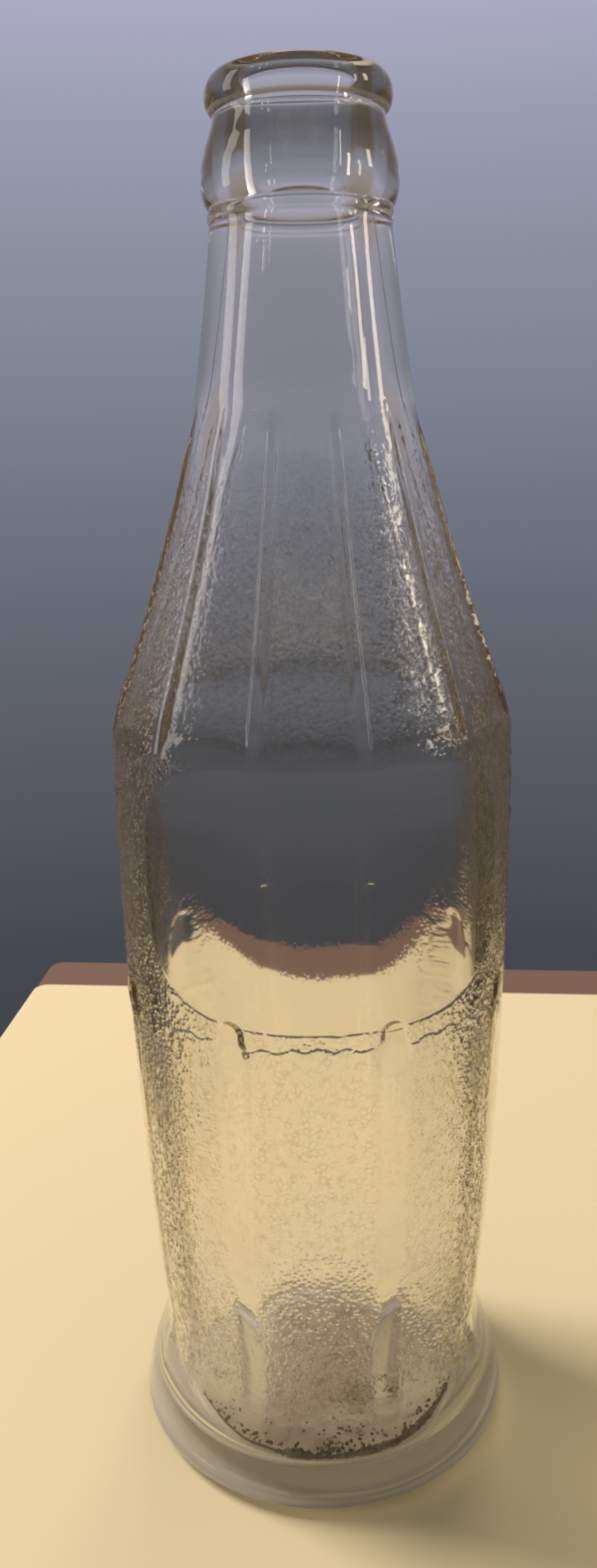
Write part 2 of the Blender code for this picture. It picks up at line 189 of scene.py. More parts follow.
def inner_line():
    """From the middle of the inner floor, over the heel and up the walls, to the mouth."""
    floor_radii = np.linspace(0.0, FLOOR_FLAT_RADIUS, 15)
    floor_levels = FLOOR_EDGE_LEVEL + FLOOR_DOME * (1.0 - (floor_radii / FLOOR_FLAT_RADIUS) ** 2)
    floor = np.column_stack((floor_radii, floor_levels))
    heel_centre = (FLOOR_FLAT_RADIUS, FLOOR_EDGE_LEVEL + HEEL_FILLET)
    heel = arc(heel_centre, (HEEL_FILLET, HEEL_FILLET), -90, 0, 10)
    wall_radius = eased_curve(INNER_LEVELS, INNER_RADII, WALL_EASE)
    wall_foot = FLOOR_EDGE_LEVEL + HEEL_FILLET
    wall_top = TOP - MOUTH_ROUNDING
    wall = stretch(wall_radius, wall_foot, wall_top, INNER_ROW_STEP)
    mouth_reach = (LAND_INNER - BORE_RADIUS, MOUTH_ROUNDING)
    mouth = arc((LAND_INNER, wall_top), mouth_reach, 180, 90, 9)
    return np.vstack((floor, heel, wall, mouth))


def outer_line():
    """From the sealing land, over the lip and down the outside, to the middle of the underside."""
    lip_top = arc((LAND_OUTER, LIP_WIDEST), (LIP_RADIUS - LAND_OUTER, TOP - LIP_WIDEST), 90, 0, 11)
    lip_under = arc((CREASE_RADIUS, LIP_WIDEST), (LIP_RADIUS - CREASE_RADIUS, LIP_WIDEST - CREASE), 0, -90, 8)
    collar_radius = eased_curve(COLLAR_LEVELS, COLLAR_RADII, COLLAR_EASE)
    collar = stretch(collar_radius, CREASE - CORNER_CUT, NOTCH, COLLAR_ROW_STEP)
    foot_levels = np.arange(EDGE_LEVEL, FOOT_TOP + 6.0, FINE_STEP)
    foot_curve = eased_curve(foot_levels, foot_radius(foot_levels), FOOT_EASE)
    heads_foot = BAND_FOOT - HEAD_BELOW
    heads_top = BAND_FOOT + HEAD_ABOVE
    ring_reach = (RING_BULGE, (NOTCH - RING) / 2)
    ring = arc((NECK_RADIUS, (NOTCH + RING) / 2), ring_reach, 75, -75, 8)
    contact_edge = arc((CONTACT_OUTER, EDGE_LEVEL), (FOOT_RADIUS - CONTACT_OUTER, EDGE_LEVEL), 0, -90, 9)
    pushed_up = arc((0.0, 0.0), (CONTACT_INNER, PUSH_UP_RISE), 0, 90, 16)
    return np.vstack(
        (
            [(LAND_OUTER, TOP)],
            lip_top,
            lip_under,
            collar,
            ring,
            stretch(neck_radius, RING, FLUTE_TOP, ROW_STEP),
            stretch(cone_radius, FLUTE_TOP, SHOULDER + CORNER_CUT, ROW_STEP),
            stretch(band_radius, SHOULDER - CORNER_CUT, heads_top, ROW_STEP),
            stretch(band_radius, heads_top, BAND_FOOT, HEAD_ROW_STEP),
            stretch(lower_radius, BAND_FOOT, heads_foot, HEAD_ROW_STEP),
            stretch(lower_radius, heads_foot, FOOT_TOP, ROW_STEP),
            stretch(foot_curve, FOOT_TOP, EDGE_LEVEL, FOOT_ROW_STEP),
            contact_edge,
            [(CONTACT_INNER, 0.0)],
            pushed_up,
        )
    )


def outward_normals(line):
    """Unit normals of a profile that runs up the inside and down the outside: they point out of the glass."""
    along = np.gradient(line, axis=0)
    along /= np.linalg.norm(along, axis=1)[:, None]
    return np.column_stack((-along[:, 1], along[:, 0]))


def nearest_offset(azimuth, centres):
    """Signed angle from each azimuth to the nearest of the centres."""
    gaps = (azimuth[:, None] - np.array(centres)[None, :] + math.pi) % (2 * math.pi) - math.pi
    return gaps[np.arange(len(azimuth)), np.abs(gaps).argmin(axis=1)]


# The flutes of the cone. The mould cutter's hand shows: no two ribs stand at quite the same distance. Each
# flute is a little hollow and ends in an arch, low at its foot and high at its top.
CONE_RIBS = 12
CONE_RIB_DRIFT = (-2.2, 0.5, 0.9, -0.4, 0.6, -0.8, 0.3, 1.0, -0.6, 0.4, -0.3, -0.5)
CONE_RIB_RISE = 0.5
CONE_RIB_HALF_TOP = 0.45
CONE_RIB_HALF_FOOT = 0.75
CONE_RIB_FLANK = 0.45
CONE_ARCH_LEVEL = 1.3
CONE_ARCH_RISE = 1.2
CONE_ARCH_SHARE = 0.55
CONE_ARCH_EDGE = (-0.7, 0.8)
CONE_HEAD_LEVEL = FLUTE_TOP - 0.6
CONE_HEAD_DROP = 1.6
CONE_HEAD_SHARE = 0.6
CONE_HEAD_EDGE = (-7.0, 0.5)
CONE_TOP_FADE = (FLUTE_TOP + 0.5, FLUTE_TOP - 8.0)
CONE_FOOT_FADE = 4.0
CONE_HOLLOW = 0.16
CONE_HOLLOW_FADE = (FLUTE_TOP, FLUTE_TOP - 20.0)
CONE_WORN_BEHIND = 0.5
# The lower body's panels and ribs, turned a little from the flutes. A rib is tall and steep at its head
# and slim and faint below it, and the wall stands a little prouder along it.
BODY_RIBS = 8
BODY_TURN = -2.3
BODY_RIB_HALF_WIDTH = 2.0
BODY_HEAD_CENTRE = BAND_FOOT - BODY_RIB_HALF_WIDTH + 1.0
BODY_RIB_SLIM = 0.42
BODY_RIB_RISE = 0.58
BODY_RIB_LOW_RISE = 0.05
BODY_RIB_FLANK = 1.7
BODY_RIB_HEAD_FLANK = 0.14
BODY_RIB_EASE = 0.25
BODY_RIB_HEAD_EASE = 0.10
BODY_RIB_EDGE_SHARE = 0.75
BODY_HEAD_STEEP = (BODY_HEAD_CENTRE - 2.6, BODY_HEAD_CENTRE - 0.4)
BODY_HEAD_RISE = (BODY_HEAD_CENTRE - 7.0, BODY_HEAD_CENTRE - 0.5)
BODY_PANEL_DEPTH = 0.15
BODY_PANEL_DROP = 2.9
BODY_PANEL_RIPPLE = 0.3
BODY_PANEL_EDGE = (-0.3, 0.3)
BODY_FOOT_FADE = (10.0, 17.0)
BODY_WORN_BEHIND = 0.75
FACET_RISE = 0.3
FACET_FADE = (64.0, 42.0)
# The smooth field on the band's front, left bare, and the mould's parting line.
FIELD_AZIMUTH = 3.0
FIELD_LEVEL = 104.9
FIELD_HALF_ANGLE = 56.0
FIELD_HALF_HEIGHT = 20.2
FIELD_POWER = 3.4
FIELD_EDGE = (0.985, 1.015)
FIELD_RISE = 0.10
SEAM_RISE = 0.07
SEAM_EDGE = (0.1, 0.5)
SEAM_FOOT = EDGE_LEVEL + 1.0
SEAM_TOP = CREASE - 1.0
# The stipple, pricked into the mould by hand.
STIPPLE_CELL = 1.35
STIPPLE_DOME = 0.62
STIPPLE_RISE = 0.088
STIPPLE_PATCH = 7.0
# Where it is worn or crisp. Turns are in degrees from the front and levels in millimetres. The other pairs
# say how far sideways or backward a change starts and ends, with 1 for full side on or straight behind.
CONE_GRAIN = (0.15, 1.0)
CONE_GRAIN_LEVELS = (FLUTE_TOP - 5.0, SHOULDER + 18.0)
HELD_TURNS = (62.0, 44.0)
HELD_RIGHT_TURNS = (28.0, 12.0)
HELD_WEAR = 0.55
RIBS_TOP = BAND_FOOT + 4.0
FIELD_FOOT = BAND_FOOT - 6.0
PANEL_FOOT_LEVELS = (13.0, 21.0)
CRISP_SIDEWISE = (0.40, 0.80)
CRISP_LEVELS = (44.0, 30.0)
FRONT_LEFT_OVER = 0.55
BACK_WEAR = (0.65, 0.9)
BACK_WEAR_LEVELS = (50.0, 62.0)
BACK_SHARES = (0.15, 0.60)
HALFWAY_TURN = 51.0
HALFWAY_SPREAD = 5.5
HALFWAY_GAIN = 1.7
BROADSIDE_SHARES = (0.87, 0.93)
BROADSIDE_WEAR = 0.85
BAND_BACK_SHARES = (-0.05, 0.40)
BAND_BACK_WEAR = 0.85
SIDE_SHARES = (0.65, 0.92)
SIDE_GAIN = 0.9
# What use has left on the glass.
CONTACT_LEVEL = 0.15
FOOT_SCUFF = 0.14
FOOT_SCUFF_TOP = (11.0, 7.0)
BAND_SCUFF = 0.08
BAND_SCUFF_FOOT = (BAND_FOOT + 1.0, BAND_FOOT + 5.0)
BAND_SCUFF_TOP = (SHOULDER, SHOULDER - 4.0)
DUST = 0.012
STIPPLE_DUST = 0.022
MATT_UNDERSIDE = 0.72
UNDERSIDE_TILT = -0.6


def behind(azimuth, start, end):
    """How far round the back a place is: 0 where its share of backwardness is start, 1 from end on."""
    return soft_step(start, end, -np.cos(azimuth))[None, :]


def cone_relief(azimuth, radius, level):
    """Height over the cone's line: the ribs, the arched foot of each flute, and the fade into the neck."""
    centres = [math.radians(15 + 30 * k + CONE_RIB_DRIFT[k]) for k in range(CONE_RIBS)]
    offset = nearest_offset(azimuth, centres)
    aside = np.abs(offset)[None, :] * radius[:, None]
    half_gap = math.pi / CONE_RIBS
    across = 1.0 - np.abs(offset)[None, :] / half_gap
    down = (FLUTE_TOP - level) / (FLUTE_TOP - SHOULDER)
    rib_half = mix(CONE_RIB_HALF_TOP, CONE_RIB_HALF_FOOT, down)[:, None]
    rib = 1.0 - soft_step(rib_half, rib_half + CONE_RIB_FLANK, aside)
    foot_arch = SHOULDER + CONE_ARCH_LEVEL + CONE_ARCH_RISE * (1.0 - across**2)
    foot_arch = foot_arch - CONE_ARCH_LEVEL * soft_step(0.80, 1.0, across)
    below_arch = CONE_ARCH_SHARE * (1.0 - soft_step(*CONE_ARCH_EDGE, level[:, None] - foot_arch))
    top_arch = CONE_HEAD_LEVEL - CONE_HEAD_DROP * across**2
    above_arch = CONE_HEAD_SHARE * soft_step(*CONE_HEAD_EDGE, level[:, None] - top_arch)
    standing = np.maximum(np.maximum(rib, below_arch), above_arch)
    top_fade = soft_step(*CONE_TOP_FADE, level)
    foot_fade = np.clip((level - SHOULDER) / CONE_FOOT_FADE, 0.0, 1.0)
    raised = CONE_RIB_RISE * (top_fade * foot_fade)[:, None] * standing
    hollow_fade = soft_step(*CONE_HOLLOW_FADE, level)[:, None]
    hollow = CONE_HOLLOW * (1.0 - (1.0 - across) ** 2) * hollow_fade * (1.0 - standing)
    worn = 1.0 - CONE_WORN_BEHIND * behind(azimuth, 0.5, 0.9)
    return worn * (raised - hollow), 1.0 - standing


def body_relief(azimuth, radius, level):
    """Height over the lower body's line: round-headed ribs, and panels whose top edge bows down."""
    centres = [math.radians(22.5 + 45 * k + BODY_TURN) for k in range(BODY_RIBS)]
    offset = nearest_offset(azimuth, centres)
    aside = np.abs(offset)[None, :] * radius[:, None]
    over_head = np.clip(level - BODY_HEAD_CENTRE, 0.0, None)[:, None]
    away = np.sqrt(aside**2 + over_head**2)
    upward = np.clip((level - WAIST) / (BODY_HEAD_CENTRE - WAIST), 0.0, 1.0)[:, None]
    width = mix(BODY_RIB_SLIM, 1.0, upward) * BODY_RIB_HALF_WIDTH
    at_head = soft_step(*BODY_HEAD_STEEP, level)[:, None]
    flank = mix(BODY_RIB_FLANK, BODY_RIB_HEAD_FLANK, at_head)
    ease = mix(BODY_RIB_EASE, BODY_RIB_HEAD_EASE, at_head)
    rib = 1.0 - soft_step(width - ease, width + flank, away)
    domed = np.clip(1.0 - (away / BODY_RIB_HALF_WIDTH) ** 2, 0.0, 1.0)
    dome = mix(BODY_RIB_EDGE_SHARE, 1.0, domed)
    rise = mix(BODY_RIB_LOW_RISE, BODY_RIB_RISE, soft_step(*BODY_HEAD_RISE, level)[:, None])
    foot_fade = soft_step(*BODY_FOOT_FADE, level)[:, None]
    across = 1.0 - np.abs(offset)[None, :] / (math.pi / BODY_RIBS)
    ripple = BODY_PANEL_RIPPLE * (np.cos(9.0 * azimuth) + np.cos(47.0 * azimuth))[None, :]
    top_edge = BAND_FOOT - BODY_PANEL_DROP + ripple
    sunk = (1.0 - soft_step(*BODY_PANEL_EDGE, level[:, None] - top_edge)) * foot_fade
    facet = FACET_RISE * across**2 * soft_step(*FACET_FADE, level)[:, None] * foot_fade
    worn = 1.0 - BODY_WORN_BEHIND * behind(azimuth, 0.1, 0.5)
    relief = rise * rib * dome * foot_fade - BODY_PANEL_DEPTH * sunk * (1.0 - rib)
    return worn * relief + facet, rib


def field_share(azimuth, level):
    """1 inside the band's smooth field and 0 outside it."""
    turn = (azimuth - math.radians(FIELD_AZIMUTH) + math.pi) % (2 * math.pi) - math.pi
    sideways = np.abs(turn)[None, :] / math.radians(FIELD_HALF_ANGLE)
    upward = np.abs(level - FIELD_LEVEL)[:, None] / FIELD_HALF_HEIGHT
    reach = (sideways**FIELD_POWER + upward**FIELD_POWER) ** (1.0 / FIELD_POWER)
    return 1.0 - soft_step(*FIELD_EDGE, reach)


def stipple_at(point):
    """The stipple's height, as a share: small domes side by side, some high and others hardly there."""
    distances, centres = noise.voronoi(point / STIPPLE_CELL)
    dome = max(0.0, 1.0 - (distances[0] / STIPPLE_DOME) ** 2)
    own = 0.55 + 0.9 * noise.cell(centres[0] * 3.7)
    patch = 0.72 + 1.25 * noise.noise(point / STIPPLE_PATCH)
    return dome * own * max(patch, 0.15)


inner = inner_line()
outer = outer_line()
line = np.vstack((inner, outer))
normals = outward_normals(line)
inner_count = len(inner)
line[0] = (0.0, inner[0, 1])
line[-1] = (0.0, PUSH_UP_RISE)
azimuths = np.arange(COLUMNS) * 2 * math.pi / COLUMNS
radii = line[:, 0]
levels = line[:, 1]
shift = np.zeros((len(line), COLUMNS))
stipple = np.zeros((len(line), COLUMNS))

outside = np.arange(len(line)) >= inner_count
cone_rows = outside & (levels <= FLUTE_TOP) & (levels >= SHOULDER)
band_rows = outside & (levels < SHOULDER) & (levels > FIELD_FOOT)

relief, panel = cone_relief(azimuths, radii[cone_rows], levels[cone_rows])
shift[cone_rows] += relief
grain = mix(*CONE_GRAIN, soft_step(*CONE_GRAIN_LEVELS, levels[cone_rows]))[:, None]
# The cone's flutes are worn smooth in front and to the left of it, where a hand holds the bottle.
from_front = np.abs(nearest_offset(azimuths, (0.0,)))
held = soft_step(*np.radians(HELD_TURNS), from_front)
held_right = soft_step(*np.radians(HELD_RIGHT_TURNS), azimuths)
held_left = held * np.where(azimuths > math.pi, 1.0, held_right)
stipple[cone_rows] = panel * grain * (1.0 - HELD_WEAR * held_left)[None, :]

rib_band = outside & (levels <= RIBS_TOP) & (levels >= SLOPE_TOP)
rib_levels = levels[rib_band]
relief, ribs = body_relief(azimuths, radii[rib_band], rib_levels)
shift[rib_band] += relief
stipple[rib_band] = (1.0 - ribs) * soft_step(*PANEL_FOOT_LEVELS, rib_levels)[:, None]
# The mould is worn in front and behind, where the panels are handled most, and crisp near the waist and at
# the sides. The stipple is highest halfway to the sides, and nearly gone full side on.
sidewise = np.abs(np.sin(azimuths))
crisp = soft_step(*CRISP_SIDEWISE, sidewise)[None, :]
near_waist = soft_step(*CRISP_LEVELS, rib_levels)[:, None]
stipple[rib_band] *= mix(FRONT_LEFT_OVER, 1.0, np.maximum(crisp, near_waist))
back_wear = mix(*BACK_WEAR, soft_step(*BACK_WEAR_LEVELS, rib_levels))[:, None]
stipple[rib_band] *= 1.0 - behind(azimuths, *BACK_SHARES) * back_wear
halfway = np.exp(-(((from_front - math.radians(HALFWAY_TURN)) / math.radians(HALFWAY_SPREAD)) ** 2))
stipple[rib_band] *= 1.0 + HALFWAY_GAIN * halfway[None, :]
broadside = soft_step(*BROADSIDE_SHARES, sidewise)[None, :]
stipple[rib_band] *= 1.0 - BROADSIDE_WEAR * broadside

field = field_share(azimuths, levels[band_rows])
shift[band_rows] += FIELD_RISE * field
band_stipple = (1.0 - field) * soft_step(SHOULDER, SHOULDER - 1.2, levels[band_rows])[:, None]
band_stipple *= 1.0 - BAND_BACK_WEAR * behind(azimuths, *BAND_BACK_SHARES)
stipple[band_rows] = np.where(
    (levels[band_rows] > RIBS_TOP)[:, None],
    band_stipple,
    np.minimum(stipple[band_rows], 1.0 - field),
)

# On the cone and the band it is coarsest at both sides.
stipple *= 1.0 + SIDE_GAIN * soft_step(*SIDE_SHARES, sidewise)[None, :]

seam_aside = np.abs(nearest_offset(azimuths, (math.pi / 2, -math.pi / 2)))[None, :] * radii[:, None]
seam_rows = (outside & (levels < SEAM_TOP) & (levels > SEAM_FOOT)).astype(float)
shift += SEAM_RISE * (1.0 - soft_step(*SEAM_EDGE, seam_aside)) * seam_rows[:, None]

sines = np.sin(azimuths)
cosines = np.cos(azimuths)
for row in np.flatnonzero(outside & (stipple.max(axis=1) > 0.01)):
    for column in np.flatnonzero(stipple[row] > 0.01):
        place = Vector((radii[row] * sines[column], -radii[row] * cosines[column], levels[row]))
        shift[row, column] += STIPPLE_RISE * stipple[row, column] * stipple_at(place)
for row in range(inner_count):
    hold = float(soft_step(*WOBBLE_START, levels[row]) * (1.0 - soft_step(*WOBBLE_END, levels[row])))
    if hold > 0.0:
        squeezed = WOBBLE_DRAWN_OUT * levels[row]
        for column in range(COLUMNS):
            place = Vector((radii[row] * sines[column], -radii[row] * cosines[column], squeezed))
            shift[row, column] += WOBBLE * hold * noise.noise(place / WOBBLE_REACH)

# In front the wall thickens from the middle of the band down, most of all to both sides of the middle.
front = soft_step(*THICK_FRONT, np.cos(azimuths))
turned = (from_front - math.radians(THICK_TURN)) / THICK_SPREAD
thicker = (THICK_MIDDLE + THICK_SIDES * np.exp(-(turned**2))) * front
share = np.clip((THICK_TOP - levels) / (THICK_TOP - THICK_FULL), 0.0, 1.0) * soft_step(*THICK_FOOT, levels)
shift += np.where(outside, 0.0, share)[:, None] * thicker[None, :]

reach = radii[:, None] + shift * normals[:, :1]
height = levels[:, None] + shift * normals[:, 1:]
grid = np.stack((reach * sines[None, :], -reach * cosines[None, :], height), axis=2) * MM
body_points = grid[1:-1].reshape(-1, 3)
floor_centre = np.array([[0.0, 0.0, levels[0] * MM]])
under_centre = np.array([[0.0, 0.0, PUSH_UP_RISE * MM]])
points = np.vstack((floor_centre, body_points, under_centre))

ring_rows = len(line) - 2
first = 1 + np.arange(ring_rows)[:, None] * COLUMNS + np.arange(COLUMNS)[None, :]
right = np.roll(first, -1, axis=1)
quads = np.stack((first[:-1], first[1:], right[1:], right[:-1]), axis=2).reshape(-1, 4)
last_point = len(points) - 1
floor_fan = [(0, int(a), int(b)) for a, b in zip(first[0], right[0])]
under_fan = [(last_point, int(b), int(a)) for a, b in zip(first[-1], right[-1])]
mesh = bpy.data.meshes.new("pressed_glass")
mesh.from_pydata(points.tolist(), [], quads.tolist() + floor_fan + under_fan)
mesh.shade_smooth()


def paint(mesh, name, values, middle):
    """Give every point a value to mix the finish by, with middle in the centre of the underside."""
    layer = mesh.attributes.new(name, "FLOAT", "POINT")
    point_values = np.concatenate(([0.0], values[1:-1].ravel(), [middle]))
    layer.data.foreach_set("value", point_values.astype(np.float32))


# The ring that touches the ground is scuffed, the foot's slope and the band less so: bottle has rubbed on
# bottle. The underside is worn matt, and a thin dust lies on the rest, thicker in the stipple.
foot_scuff = FOOT_SCUFF * soft_step(*FOOT_SCUFF_TOP, levels)
band_scuff = BAND_SCUFF * soft_step(*BAND_SCUFF_FOOT, levels) * soft_step(*BAND_SCUFF_TOP, levels)
scuff = np.where(levels < CONTACT_LEVEL, 1.0, foot_scuff) + band_scuff
scuff = (scuff * outside)[:, None] * np.ones((1, COLUMNS))
underside = (outside & (normals[:, 1] < UNDERSIDE_TILT)).astype(float)[:, None]
dusty = outside[:, None] * (DUST + STIPPLE_DUST * stipple)
matt = dusty * (1.0 - underside) + MATT_UNDERSIDE * underside
paint(mesh, "stippled", stipple, 0.0)
paint(mesh, "scuffed", scuff, 0.0)
paint(mesh, "matt", matt, MATT_UNDERSIDE)
bottle = bpy.data.objects.new("pressed_glass", mesh)
bpy.context.scene.collection.objects.link(bottle)


def blank_finish(name):
    """A new node material, with its tree and its main shader."""
    material = bpy.data.materials.new(name)
    material.use_nodes = True
    return material, material.node_tree, material.node_tree.nodes["Principled BSDF"]


def feed(tree, socket, source):
    """Link an output to a socket, or set the socket to a plain number or colour."""
    if isinstance(source, bpy.types.NodeSocket):
        tree.links.new(source, socket)
    else:
        socket.default_value = source


def worked_out(tree, operation, *sources):
    """The result of one piece of arithmetic on outputs and plain numbers."""
    node = tree.nodes.new("ShaderNodeMath")
    node.operation = operation
    for socket, source in zip(node.inputs, sources):
        feed(tree, socket, source)
    return node.outputs["Value"]


def eased(tree, value, start, end, result=(0.0, 1.0), curve="SMOOTHSTEP"):
    """As value goes from start to end, this goes through the result's range."""
    node = tree.nodes.new("ShaderNodeMapRange")
    node.interpolation_type = curve
    node.inputs["From Min"].default_value = start
    node.inputs["From Max"].default_value = end
    node.inputs["To Min"].default_value = result[0]
    node.inputs["To Max"].default_value = result[1]
    tree.links.new(value, node.inputs["Value"])
    return node.outputs["Result"]


def pattern(tree, kind, place, scale, detail=None):
    """A procedural pattern that is fixed to the object, with scale in cells per metre."""
    node = tree.nodes.new(kind)
    node.inputs["Scale"].default_value = scale
    if detail is not None:
        node.inputs["Detail"].default_value = detail
    tree.links.new(place, node.inputs["Vector"])
    return node


def shades(tree, value, low, high):
    """Goes from one colour to another: low and high each hold a value and the colour there."""
    node = tree.nodes.new("ShaderNodeValToRGB")
    for stop, (position, colour) in zip(node.color_ramp.elements, (low, high)):
        stop.position = position
        stop.color = (*colour, 1.0)
    tree.links.new(value, node.inputs["Fac"])
    return node.outputs["Color"]


def tinted(tree, share, first, second, way="MIX"):
    """The first colour goes over into the second by a share."""
    node = tree.nodes.new("ShaderNodeMix")
    node.data_type = "RGBA"
    node.blend_type = way
    for number, source in ((0, share), (6, first), (7, second)):
        feed(tree, node.inputs[number], source)
    return node.outputs[2]


def embossed(tree, height, distance, strength):
    """A surface that a pattern roughens by distance, in metres."""
    node = tree.nodes.new("ShaderNodeBump")
    node.inputs["Distance"].default_value = distance
    feed(tree, node.inputs["Strength"], strength)
    tree.links.new(height, node.inputs["Height"])
    return node.outputs["Normal"]


def painted(tree, name):
    """What the mesh's points carry under a name."""
    node = tree.nodes.new("ShaderNodeAttribute")
    node.attribute_name = name
    return node.outputs["Fac"]


def laid_over(tree, share, first, second):
    """The second shader laid over the first by a share."""
    node = tree.nodes.new("ShaderNodeMixShader")
    for socket, source in zip(node.inputs, (share, first, second)):
        tree.links.new(source, socket)
    return node.outputs["Shader"]


CLEAN_GLASS = (1.0, 1.0, 1.0, 1.0)
GRIMY_GLASS = (0.58, 0.50, 0.36, 1.0)
DUST_TINT = (0.80, 0.70, 0.60, 1.0)
STRAW_TINT = (0.60, 0.45, 0.0, 1.0)
STRAW_DENSITY = 13.0
FACE_ON_VEIL = (0.80, 0.79, 0.76)
EDGE_ON_VEIL = (0.33, 0.315, 0.28)


def straw_glass():
    """Clear glass that takes a little blue and less green on the way through it."""
    material, tree, glass = blank_finish("straw_glass")
    nodes = tree.nodes
    output = nodes["Material Output"]
    glass.inputs["IOR"].default_value = 1.52
    glass.inputs["Transmission Weight"].default_value = 1.0
    place = nodes.new("ShaderNodeTexCoord").outputs["Object"]
    stippled = painted(tree, "stippled")

    # Domes finer than the mesh, only where the mould is stippled.
    domes = pattern(tree, "ShaderNodeTexVoronoi", place, 1250.0)
    rounding = eased(tree, domes.outputs["Distance"], 0.05, 0.62, (1.0, 0.0))
    tree.links.new(embossed(tree, rounding, 0.00008, stippled), glass.inputs["Normal"])

    # The skin of the stipple is a little dull, and the scuffed ring under the foot is frosted.
    dull = worked_out(tree, "MULTIPLY_ADD", stippled, 0.07, 0.02)
    frosted = worked_out(tree, "MULTIPLY_ADD", painted(tree, "scuffed"), 0.32, dull)
    tree.links.new(frosted, glass.inputs["Roughness"])

    # Old grime sits in the pits between the domes, in patches.
    pits = pattern(tree, "ShaderNodeTexVoronoi", place, 1050.0)
    pits.feature = "DISTANCE_TO_EDGE"
    pit_lines = eased(tree, pits.outputs["Distance"], 0.02, 0.20, (1.0, 0.0))
    patches = pattern(tree, "ShaderNodeTexNoise", place, 640.0, 3.0)
    patchy = eased(tree, patches.outputs["Fac"], 0.44, 0.60, curve="LINEAR")
    lodged = worked_out(tree, "MULTIPLY", pit_lines, patchy)
    grime = worked_out(tree, "MULTIPLY", lodged, stippled)
    grime.node.use_clamp = True
    tree.links.new(tinted(tree, grime, CLEAN_GLASS, GRIMY_GLASS), glass.inputs["Base Color"])

    # Dust, and the matt underside.
    dust = nodes.new("ShaderNodeBsdfDiffuse")
    dust.inputs["Color"].default_value = DUST_TINT
    skin = laid_over(tree, painted(tree, "matt"), glass.outputs["BSDF"], dust.outputs["BSDF"])

    # Lamps reach the sheet and the deposit through the glass without bending, dimmed at each face.
    path = nodes.new("ShaderNodeLightPath")
    unbent = worked_out(tree, "MAXIMUM", path.outputs["Is Shadow Ray"], path.outputs["Is Diffuse Ray"])
    facing = nodes.new("ShaderNodeLayerWeight")
    facing.inputs["Blend"].default_value = 0.5
    veil = shades(tree, facing.outputs["Facing"], (0.15, FACE_ON_VEIL), (0.85, EDGE_ON_VEIL))
    clear = nodes.new("ShaderNodeBsdfTransparent")
    tree.links.new(veil, clear.inputs["Color"])
    surface = laid_over(tree, unbent, skin, clear.outputs["BSDF"])
    tree.links.new(surface, output.inputs["Surface"])

    tint = nodes.new("ShaderNodeVolumeAbsorption")
    tint.inputs["Color"].default_value = STRAW_TINT
    tint.inputs["Density"].default_value = STRAW_DENSITY
    tree.links.new(tint.outputs["Volume"], output.inputs["Volume"])
    return material


bottle.data.materials.append(straw_glass())
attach(bottle, "root")
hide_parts("glass_bottle")


# The stain: the last of the drink, dried to a thin brown film over the inner floor. It is a closed sheet, a
# tenth of a millimetre thick or so, that follows the floor's dome and runs a little way up the heel in front.
STAIN_FRONT_REACH = 23.6
STAIN_BACK_REACH = 22.6
STAIN_WANDER = 0.5
STAIN_GAP = 0.05
STAIN_THIN = 0.05
STAIN_LUMPS = 0.28
STAIN_LUMP_SIZES = (1.6, 0.7)
STAIN_RIM_THINS = 6.0
STAIN_RINGS = 48
STAIN_COLUMNS = 192


def heel_place(along):
    """Radius and level of the glass, and the way out of it, at a length from the foot of the heel's curve."""
    turn = np.clip(along / HEEL_FILLET, 0.0, math.pi / 2)
    flat = np.minimum(along, 0.0)
    radius = FLOOR_FLAT_RADIUS + flat + HEEL_FILLET * np.sin(turn)
    dome = FLOOR_DOME * (1.0 - np.clip(radius / FLOOR_FLAT_RADIUS, 0.0, 1.0) ** 2)
    level = FLOOR_EDGE_LEVEL + dome + HEEL_FILLET * (1.0 - np.cos(turn))
    return radius, level, -np.sin(turn), np.cos(turn)


def linked(name, points, faces):
    """A smooth mesh object from points in millimetres."""
    mesh = bpy.data.meshes.new(name)
    mesh.from_pydata((np.asarray(points) * MM).tolist(), [], faces)
    mesh.shade_smooth()
    thing = bpy.data.objects.new(name, mesh)
    bpy.context.scene.collection.objects.link(thing)
    return thing


